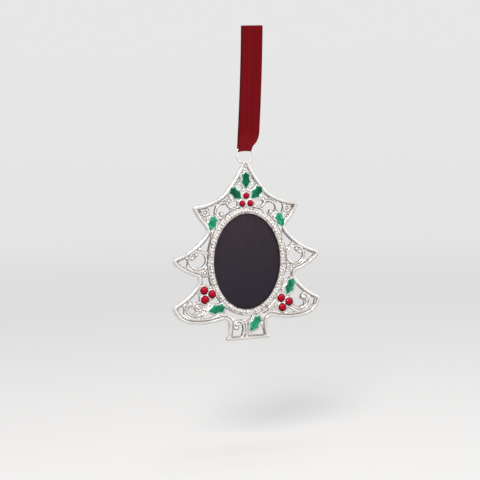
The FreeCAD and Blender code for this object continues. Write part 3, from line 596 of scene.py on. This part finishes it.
# The beaded band: part of the same casting, a pale flat oval round the opening, with a row of half
# balls just outside its smooth inner lip. It is its own mesh, so that all beads are alike.
bead_lip, bead_pitch, bead_round = 0.55, 1.42, 0.64
band_front, bead_front = 2.5, 3.0
lip_run, lip_drop, shoulder_run = 0.25, 0.14, 0.40
flat_crown = 0.12
bead_foot_shade, lip_shade, foot_shade, foot_line = (0.55, 0.07), (0.7, 0.22), (0.6, 0.12), 2.95
bead_steps, across, oval_steps = 14, 34, 7280


def oval_travel(a, b):
    """Angles t from 0 to a full turn, and the way along the oval (a cos t, b sin t) up to each: the
    speed there is the root of (a sin t) squared + (b cos t) squared, summed over t."""
    turn = np.linspace(0, 2 * math.pi, oval_steps + 1)
    speed = np.hypot(a * np.sin(turn), b * np.cos(turn))
    return turn, np.concatenate([[0], np.cumsum((speed[1:] + speed[:-1]) / 2 * np.diff(turn))])


def tube_faces(rings, sides, closed):
    """Faces between rings of points: corner j of ring i to its neighbours at i + 1 and j + 1."""
    i, j = np.meshgrid(np.arange(rings if closed else rings - 1), np.arange(sides), indexing="ij")
    here, over = i * sides + j, i * sides + (j + 1) % sides
    ahead, ahead_over = (i + 1) % rings * sides + j, (i + 1) % rings * sides + (j + 1) % sides
    return np.stack([here, ahead, ahead_over, over], -1).reshape(-1, 4)


bead_axis = bead_lip + bead_pitch / 2
turn, travel = oval_travel(*(oval_half + bead_axis))
beads = round(travel[-1] / bead_pitch)
around = beads * bead_steps
run = np.arange(around) / around
angle = np.interp(run * travel[-1], travel, turn)
share = np.linspace(0, bezel_wide, across)
along = (run * beads - np.round(run * beads)) * travel[-1] / beads
from_bead = np.hypot(along[:, None], share[None, :] - bead_axis)
bead = np.sqrt(np.clip(1 - (from_bead / bead_round) ** 2, 0, 1))
lip_fall = lip_drop * (1 - quarter_round(share / lip_run))
shoulder_fall = (band_front - web_front) * (1 - quarter_round((bezel_wide - share) / shoulder_run))
band_depth = band_front - lip_fall[None, :] - shoulder_fall[None, :] + (bead_front - band_front) * bead
top_plan = oval_middle + np.stack([(oval_half[0] + share) * np.cos(angle)[:, None],
                                   (oval_half[1] + share) * np.sin(angle)[:, None]], -1)
ring_plan = np.concatenate([top_plan[:, :1], top_plan, top_plan[:, -1:]], 1)
floor_depth = np.full((around, 1), step_depth - half_lap)
ring_depth = np.concatenate([floor_depth, band_depth, floor_depth], 1)
ring_points = np.stack([ring_plan[..., 0], flat_back - ring_depth, ring_plan[..., 1]], -1).reshape(-1, 3)
beaded_band = join_up("beaded_band", ring_points, tube_faces(around, across + 2, True)[:, [0, 3, 2, 1]])
# Painted light on the band: the beads are bright and the flat a little darker, partly painted highlight, and
# painted shade lines run along the inner lip, the outer foot and round each bead.
band_crown = flat_crown + (1 - flat_crown) * bead
edge_shade = (foot_shade[0] * line_shade(share - foot_line, foot_shade[1])
              + lip_shade[0] * line_shade(share, lip_shade[1]))
bead_shade = bead_foot_shade[0] * line_shade(from_bead - bead_round, bead_foot_shade[1])
band_shade = np.maximum(bead_shade, edge_shade[None, :])
for name, values in (("crown", band_crown), ("grime", band_shade)):
    store(beaded_band, name, np.pad(values, ((0, 0), (1, 1)), mode="edge").ravel())
beaded_band.data.materials.append(casting_silver)
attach(beaded_band, "tree")

# The enamel: glassy green poured into each leaf cell of the casting and fired, domed in its middle,
# over a moulded middle vein with side veins. It is paler near the leaf edges, where it lies thinner.
# Pale patches and glints of painted highlight lie on the leaves, strongest on the shoulder leaves.
enamel_edge, enamel_dome, enamel_reach, enamel_floor = 2.40, 0.20, 1.1, 1.9
enamel_cell = 0.075
vein_deep, vein_wide = 0.05, 0.15
branch_wide, branch_share, branch_pitch = 0.11, 0.6, 1.25
branch_lean, branch_reach = 0.8, 1.7
leaf_highlight_share = {"crown": 0.05, "shoulder": 0.95, "lower": 0.5, "trunk": 0.6}
mottle_scale, patch_scale, glint_scale = 420.0, 230.0, 700.0
deep_green, mid_green = (0.000, 0.085, 0.044, 1), (0.000, 0.215, 0.115, 1)
patch_highlight_green, glint_green = (0.030, 0.47, 0.25, 1), (0.16, 0.78, 0.48, 1)
edge_green, vein_green = (0.22, 0.70, 0.50, 1), (0.000, 0.05, 0.025, 1)
green_enamel, graph, shader = new_material("green_enamel")
place = object_place(graph)
pale = attribute(graph, "pale")
green = mixed(graph, ramped(graph, noise(graph, place, mottle_scale, 2.0), 0.35, 0.65), deep_green, mid_green)
# Painted highlight: pale patches and glints, by each leaf's share, strongest on the shoulder leaves.
paler = ramped(graph, noise(graph, place, patch_scale, 1.0), 0.34, 0.62, 0.35, 1.25)
green = mixed(graph, math_node(graph, "MULTIPLY", pale, paler), green, patch_highlight_green)
glint = ramped(graph, noise(graph, place, glint_scale, 2.0), 0.52, 0.62, 0.0, 0.75)
green = mixed(graph, math_node(graph, "MULTIPLY", pale, glint), green, glint_green)
green = mixed(graph, ramped(graph, attribute(graph, "edge"), 0.0, 0.50, 0.95, 0.0), green, edge_green)
green = mixed(graph, math_node(graph, "MULTIPLY", attribute(graph, "vein"), 0.6), green, vein_green)
finish_with(graph, shader, Base_Color=green, Roughness=0.15, Specular_IOR_Level=0.05, Coat_Weight=0.2,
            Coat_Roughness=0.04)


def leaf_veins(spots, corners):
    """Depth of the veins from 0 to 1: a line along the leaf's longest way, shaded by the distance off
    it, and lines that lean back from it at every branch_pitch and end at branch_reach."""
    apart = np.linalg.norm(corners[:, None] - corners[None, :], axis=-1)
    first, second = np.unravel_index(apart.argmax(), apart.shape)
    axis = (corners[second] - corners[first]) / apart.max()
    off_axis = np.abs((spots - corners[first]) @ np.array([-axis[1], axis[0]]))
    on_axis = (spots - corners[first]) @ axis
    branch = (on_axis - branch_lean * off_axis) / branch_pitch
    from_branch = (branch - np.round(branch)) * branch_pitch
    branches = branch_share * line_shade(from_branch, branch_wide) * (off_axis < branch_reach)
    return np.maximum(line_shade(off_axis, vein_wide), branches)


for name in [name for name in nodes if name.startswith("enamel_")]:
    leaf_plan, leaf_depth = triangles_of(name)
    leaf_grid = Grid(leaf_plan, enamel_cell)
    outline = cut_at(leaf_plan, leaf_depth, leaf_level)
    gap, nearest = leaf_grid.reach(outline, enamel_reach)
    snap = gap < snap_share * enamel_cell
    spots = np.where(snap[..., None], nearest, leaf_grid.plan)
    kept = leaf_grid.inside(outline) | snap
    vein = leaf_veins(spots, outline[:, 0])
    leaf_height = enamel_edge + enamel_dome * quarter_round(gap / enamel_reach) - vein_deep * vein
    leaf, leaf_rim = relief_mesh(name.replace("enamel", "leaf"), kept, spots, leaf_height, enamel_floor)
    store(leaf, "vein", vein[kept], leaf_rim)
    store(leaf, "edge", gap[kept], leaf_rim)
    store(leaf, "pale", np.full(kept.sum(), leaf_highlight_share[name.split("_")[1]]), leaf_rim)
    leaf.data.materials.append(green_enamel)
    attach(leaf, "tree")
    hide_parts(name)

# The crystals: round red glass stones with foiled backs, cut with a flat table, a ring of star facets
# and a ring of kite facets, and pressed into the casting's cups. Each facet has its own tone of painted
# light: painted shade under the girdle and on the side turned away from the light, red on the table, and
# a painted pink highlight on the star facets that look up.
facets = 12
tiers = np.array([(0.80, 0.0, 0.5), (1.0, 0.5, 0.5), (0.82, 0.93, 0.0), (0.56, 1.3, 0.5)])
tier_light, tier_light_swing = [0.06, 0.27, 0.33, 0.42, 0.56], [0.0, 0.12, 0.22, 0.30, 0.42]
table_tone, foil_tone, facet_flicker = 0.60, 0.1, 0.16
lit_side = math.radians(100)
first_draw = 3
stone_shade = (0.075, 0.000, 0.003, 1)
stone_red = (0.54, 0.000, 0.020, 1)
stone_highlight = (0.80, 0.075, 0.145, 1)
red_crystal, graph, shader = new_material("red_crystal")
facet_light = attribute(graph, "facet")
red = mixed(graph, ramped(graph, facet_light, 0.05, 0.60), stone_shade, stone_red)
finish_with(graph, shader, Base_Color=mixed(graph, ramped(graph, facet_light, 0.62, 1.0), red, stone_highlight),
            Roughness=0.06, Specular_IOR_Level=0.06, Coat_Weight=0.10, Coat_Roughness=0.02)
a = np.arange(facets)
b = (a + 1) % facets
girdle, kite, table = facets, 2 * facets, 3 * facets
belts = [np.stack(belt, 1) for belt in ((a, b, girdle + b, girdle + a), (girdle + a, girdle + b, kite + b),
                                        (girdle + a, kite + b, kite + a), (kite + a, kite + b, table + a),
                                        (kite + b, table + b, table + a))]


def stone_points(middle, radius, seat):
    """Corners of a stone: tier (share, height, turn) puts a point for each facet on a circle of that
    share of the radius, at that height over the seat, turned by that part of a facet."""
    share, tall, turn = (column[:, None] for column in tiers.T)
    bearing = np.arange(facets) * 2 * math.pi / facets + turn * 2 * math.pi / facets
    depth = np.broadcast_to(flat_back - seat - tall, bearing.shape)
    return np.stack([middle[0] + share * radius * np.cos(bearing), depth,
                     middle[1] + share * radius * np.sin(bearing)], -1).reshape(-1, 3)


for order, name in enumerate(name for name in nodes if name.startswith("crystal_")):
    low, high = (np.array(corner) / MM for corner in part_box(name))
    middle, radius = (low + high)[[0, 2]] / 2, (high - low)[0] / 2
    stone = stone_points(middle, radius, flat_back - high[1])
    faces = [face for belt in belts for face in belt.tolist()] + [(table + a).tolist(), a[::-1].tolist()]
    gem = join_up(name.replace("crystal", "stone"), stone, faces, smooth=False)
    belt_middles = np.concatenate([stone[belt].mean(1) for belt in belts])[:, [0, 2]] - middle
    facing = np.arctan2(belt_middles[:, 1], belt_middles[:, 0])
    flicker = np.random.default_rng(order + first_draw).random(len(facing)) - 0.5
    # Painted light: each facet is lighter the more it faces the lit side, with a random flicker.
    tones = (np.repeat(tier_light, facets) + np.repeat(tier_light_swing, facets) * np.cos(facing - lit_side)
             + facet_flicker * flicker)
    store(gem, "facet", np.append(tones, [table_tone, foil_tone]), domain="FACE")
    gem.data.materials.append(red_crystal)
    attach(gem, "tree")
    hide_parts(name)


def dress(name, material):
    """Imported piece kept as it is, in its own material."""
    nodes[name].data.materials.clear()
    nodes[name].data.materials.append(material)


# The window: a clear polished sheet cut to an oval, which rests on the ledge behind the opening.
# Its faint haze shows as a soft sheen.
haze_scale = 60.0
clear_window, graph, shader = new_material("clear_window")
haze = noise(graph, object_place(graph), haze_scale, 2.0)
finish_with(graph, shader, Base_Color=(1, 1, 1, 1), Roughness=ramped(graph, haze, 0.3, 0.7, 0.02, 0.06),
            Transmission_Weight=1.0, IOR=1.12)
dress("window", clear_window)

# The insert: a plain navy card that keeps a photo's place behind the window, a little paler
# towards its top, where it catches more light.
navy_low, navy_high = (0.024, 0.018, 0.030, 1), (0.038, 0.029, 0.037, 1)
fibre_pale = (0.055, 0.046, 0.058, 1)
tone_low, tone_high = -128.0 * MM, -88.0 * MM
fibre_scale = 3000.0
navy_card, graph, shader = new_material("navy_card")
place = object_place(graph)
card_height = shader_node(graph, "ShaderNodeSeparateXYZ", i0=place).outputs["Z"]
navy = mixed(graph, ramped(graph, card_height, tone_low, tone_high), navy_low, navy_high)
fibre = ramped(graph, noise(graph, place, fibre_scale, 2.0), 0.35, 0.65, 0.0, 0.18)
finish_with(graph, shader, Base_Color=mixed(graph, fibre, navy, fibre_pale), Specular_IOR_Level=0.1,
            Roughness=0.6)
dress("photo_insert", navy_card)

# The back cover: a pressed plated sheet with a notch for a finger, pushed into the casting's recess
# behind the card. It keeps its packed form, in a satin plate without grime.
cover_crown = 0.70
dress("back_cover", plated("pressed_back", cover_crown, 0.0))

# The hanging ring: plated round wire bent to a circle through the casting's eyelet. Its cut ends meet
# at the top, under the ribbon's fold.
wire_round, ring_round, ring_height = 0.45, 3.95, 49.3
wire_crown = 0.9
ring_middle = np.array([oval_middle[0], 0.0, oval_middle[1] + ring_height])
split = math.radians(1.2)
turns, sides = 145, 20


def wire_points():
    """Circle of the wire carried round the ring: at bend u and skin v the reach from the ring's middle
    is ring_round + wire_round cos v, along (cos u, sin u), and the depth is -wire_round sin v."""
    bend = math.pi / 2 + np.linspace(split, 2 * math.pi - split, turns)[:, None]
    skin = np.arange(sides) * 2 * math.pi / sides
    reach = ring_round + wire_round * np.cos(skin)[None, :]
    return np.stack([ring_middle[0] + reach * np.cos(bend),
                     np.broadcast_to(-wire_round * np.sin(skin), (turns, sides)),
                     ring_middle[2] + reach * np.sin(bend)], -1).reshape(-1, 3)


wire_ends = [list(range(sides)), list(range((turns - 1) * sides, turns * sides))[::-1]]
ring = join_up("wire_ring", wire_points(), tube_faces(turns, sides, False).tolist() + wire_ends)
ring.data.materials.append(plated("ring_silver", wire_crown, 0.0))
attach(ring, "ring")
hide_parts("hanging_ring")

# The ribbon: one strip of red satin, folded under the ring's top and again at the top of its loop,
# where its ends are joined. It leans to the right as it hangs, and spreads from the wire's arch to
# its full width.
ribbon_near, ribbon_far = 0.53, 0.78
ribbon_reach = math.radians(58)
ribbon_half, ribbon_flare, ribbon_lean = 5.0, 8.0, 1.5
hang_x, hang_z = 4.6, 0.0
arch, fold_pinch, leave_share = 0.15, 0.13, 0.06
foot_z = ring_middle[2] + ring_round * math.cos(ribbon_reach)
slope = hang_x / (hang_z - foot_z)
# The grid: shares across the strip, of the height of a leaf with close rows near its foot, and of the
# half turn of a fold.
close_rows = 0.12
side = np.linspace(-1, 1, 33)
climb = np.concatenate([np.linspace(0, close_rows, 14)[:-1], np.linspace(close_rows, 1, 40)])
fold = np.linspace(0, math.pi, 9)
foot_x = ring_round * np.sin(side * ribbon_reach)
wire_top = ring_middle[2] + ring_round * np.cos(side * ribbon_reach)
foot = np.stack([foot_x, foot_z + arch * (wire_top - foot_z)], -1)


def hanging_rows(climb):
    """Plan of the rows of one leaf at shares of its height: across the strip, x goes from the arch
    over the wire to side * half width, where the half width grows with the sine of the way up through
    the flare, plus the slope of the hanging loop and a lean that fades with the height squared."""
    z = foot[None, :, 1] + climb[:, None] * (hang_z - foot[None, :, 1])
    spread = np.sin(math.pi / 2 * np.clip((z - foot_z) / ribbon_flare, 0, 1))
    half = ring_round * math.sin(ribbon_reach) * (1 - spread) + ribbon_half * spread
    left = np.clip(climb[:, None] / leave_share, 0, 1)
    up = np.maximum(z - foot_z, 0)
    lean = ribbon_lean * spread * (1 - (up / (hang_z - foot_z)) ** 2)
    x = foot[None, :, 0] * (1 - left) + side[None, :] * half * left + (slope * up + lean) * left
    return np.stack([ring_middle[0] + x, z], -1)


def satin_face(radius):
    """One face of the strip, at a radius from its middle plane: up the front, over the top as a half
    circle, down the back and under the wire as a half circle, in rows across the strip."""
    leaf = hanging_rows(climb)
    bow, depth = radius * np.sin(fold), radius * np.cos(fold)
    pinched = foot[None] * (1 - fold_pinch * np.sin(fold)[:, None, None] * np.array([1.0, 0.0]))
    under = np.array([ring_middle[0], 0.0]) + pinched - bow[:, None, None] * np.array([0.0, 1.0])
    over = leaf[-1][None] + bow[:, None, None] * np.array([0.0, 1.0])
    plan = np.concatenate([over[1:5][::-1], leaf[::-1], under[1:-1], leaf, over[1:4]])
    flat = np.full(len(climb), radius)
    y = np.concatenate([-depth[1:5][::-1], -flat, -depth[1:-1], flat, depth[1:4]])
    return np.stack([plan[..., 0], np.broadcast_to(y[:, None], plan.shape[:2]), plan[..., 1]], -1)


outer_face, inner_face = satin_face(ribbon_far), satin_face(ribbon_near)
satin_points = np.concatenate([outer_face, inner_face[:, ::-1]], 1)
rows, loop = satin_points.shape[:2]
ribbon = join_up("satin_ribbon", satin_points.reshape(-1, 3), tube_faces(rows, loop, True))
ribbon.data.set_sharp_from_angle(angle=math.radians(50))
store(ribbon, "across", np.tile(np.concatenate([side, side[::-1]]), rows))
store(ribbon, "along", np.repeat(np.arange(rows) / rows, loop))
# Painted light on the satin: streaks of painted sheen along the threads, a band of painted light above the
# fold at the foot, and painted shade along both edges.
satin_dark, satin_sheen = (0.160, 0.0035, 0.006, 1), (0.235, 0.005, 0.010, 1)
satin_fold_light, satin_edge_shade = (0.235, 0.008, 0.013, 1), (0.125, 0.003, 0.005, 1)
threads_across, threads_along, weave_rows = 9.0, 2.0, 2400.0
fold_light_low, fold_light_high = (foot_z + 5.0) * MM, (foot_z + 8.5) * MM
red_satin, graph, shader = new_material("red_satin")
across, along = attribute(graph, "across"), attribute(graph, "along")
threads = shader_node(graph, "ShaderNodeCombineXYZ", X=math_node(graph, "MULTIPLY", across, threads_across),
                      Y=math_node(graph, "MULTIPLY", along, threads_along)).outputs[0]
satin = mixed(graph, ramped(graph, noise(graph, threads, 1.0, 3.0), 0.30, 0.70), satin_dark, satin_sheen)
satin_height = shader_node(graph, "ShaderNodeSeparateXYZ", i0=object_place(graph)).outputs["Z"]
near_fold = ramped(graph, satin_height, fold_light_low, fold_light_high, 0.8, 0.0)
satin = mixed(graph, near_fold, satin, satin_fold_light)
near_edge = ramped(graph, math_node(graph, "ABSOLUTE", across), 0.88, 0.98)
satin = mixed(graph, near_edge, satin, satin_edge_shade)
weave = math_node(graph, "SINE", math_node(graph, "MULTIPLY", along, weave_rows))
bump = shader_node(graph, "ShaderNodeBump", Height=weave, Strength=0.2, Distance=0.02 * MM)
finish_with(graph, shader, Base_Color=satin, Normal=bump.outputs["Normal"], Roughness=0.42,
            Specular_IOR_Level=0.06)
ribbon.data.materials.append(red_satin)
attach(ribbon, "ribbon")
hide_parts("ribbon")
